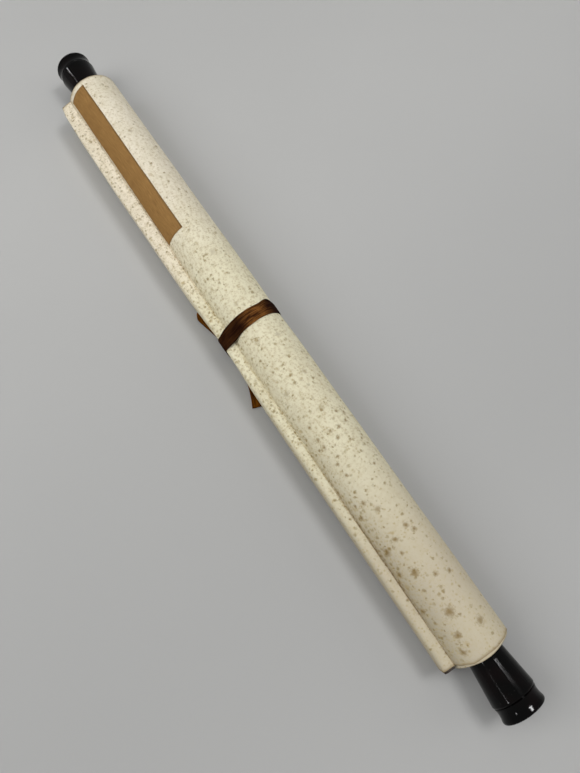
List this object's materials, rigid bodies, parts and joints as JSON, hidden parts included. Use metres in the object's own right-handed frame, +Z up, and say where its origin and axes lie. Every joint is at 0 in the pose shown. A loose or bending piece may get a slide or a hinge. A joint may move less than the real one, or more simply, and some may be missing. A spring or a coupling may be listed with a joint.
{
  "type": "paper scroll",
  "caption": "Rolled hanging scroll: foxed paper wound on a wooden roller with black turned knobs, a flat wrapped stave alongside, a title slip and a ribbon tie.",
  "frame": {"origin": "centre of the base, on the level that the scroll rests on", "axes": "+X along the roller from the end beside the title slip to the other end, +Z up, the top stave on the -Y side of the roll"},
  "size_m": [0.6, 0.053, 0.0416],
  "materials": {
    "mounted_paper": "matte, foxed",
    "slip_paper": "matte",
    "plain_wood": "unfinished",
    "lacquered_wood": "black gloss lacquer",
    "staple_wire": "dull",
    "ribbon": "fine ribbed weave"
  },
  "bodies": {
    "root": {"paper_roll": "mounted_paper", "title_slip": "slip_paper", "roller_rod": "plain_wood", "stave": "plain_wood", "knob_left": "lacquered_wood", "knob_right": "lacquered_wood", "staple_left": "staple_wire", "staple_right": "staple_wire", "tie_ribbon": "ribbon"}
  },
  "joints": []
}
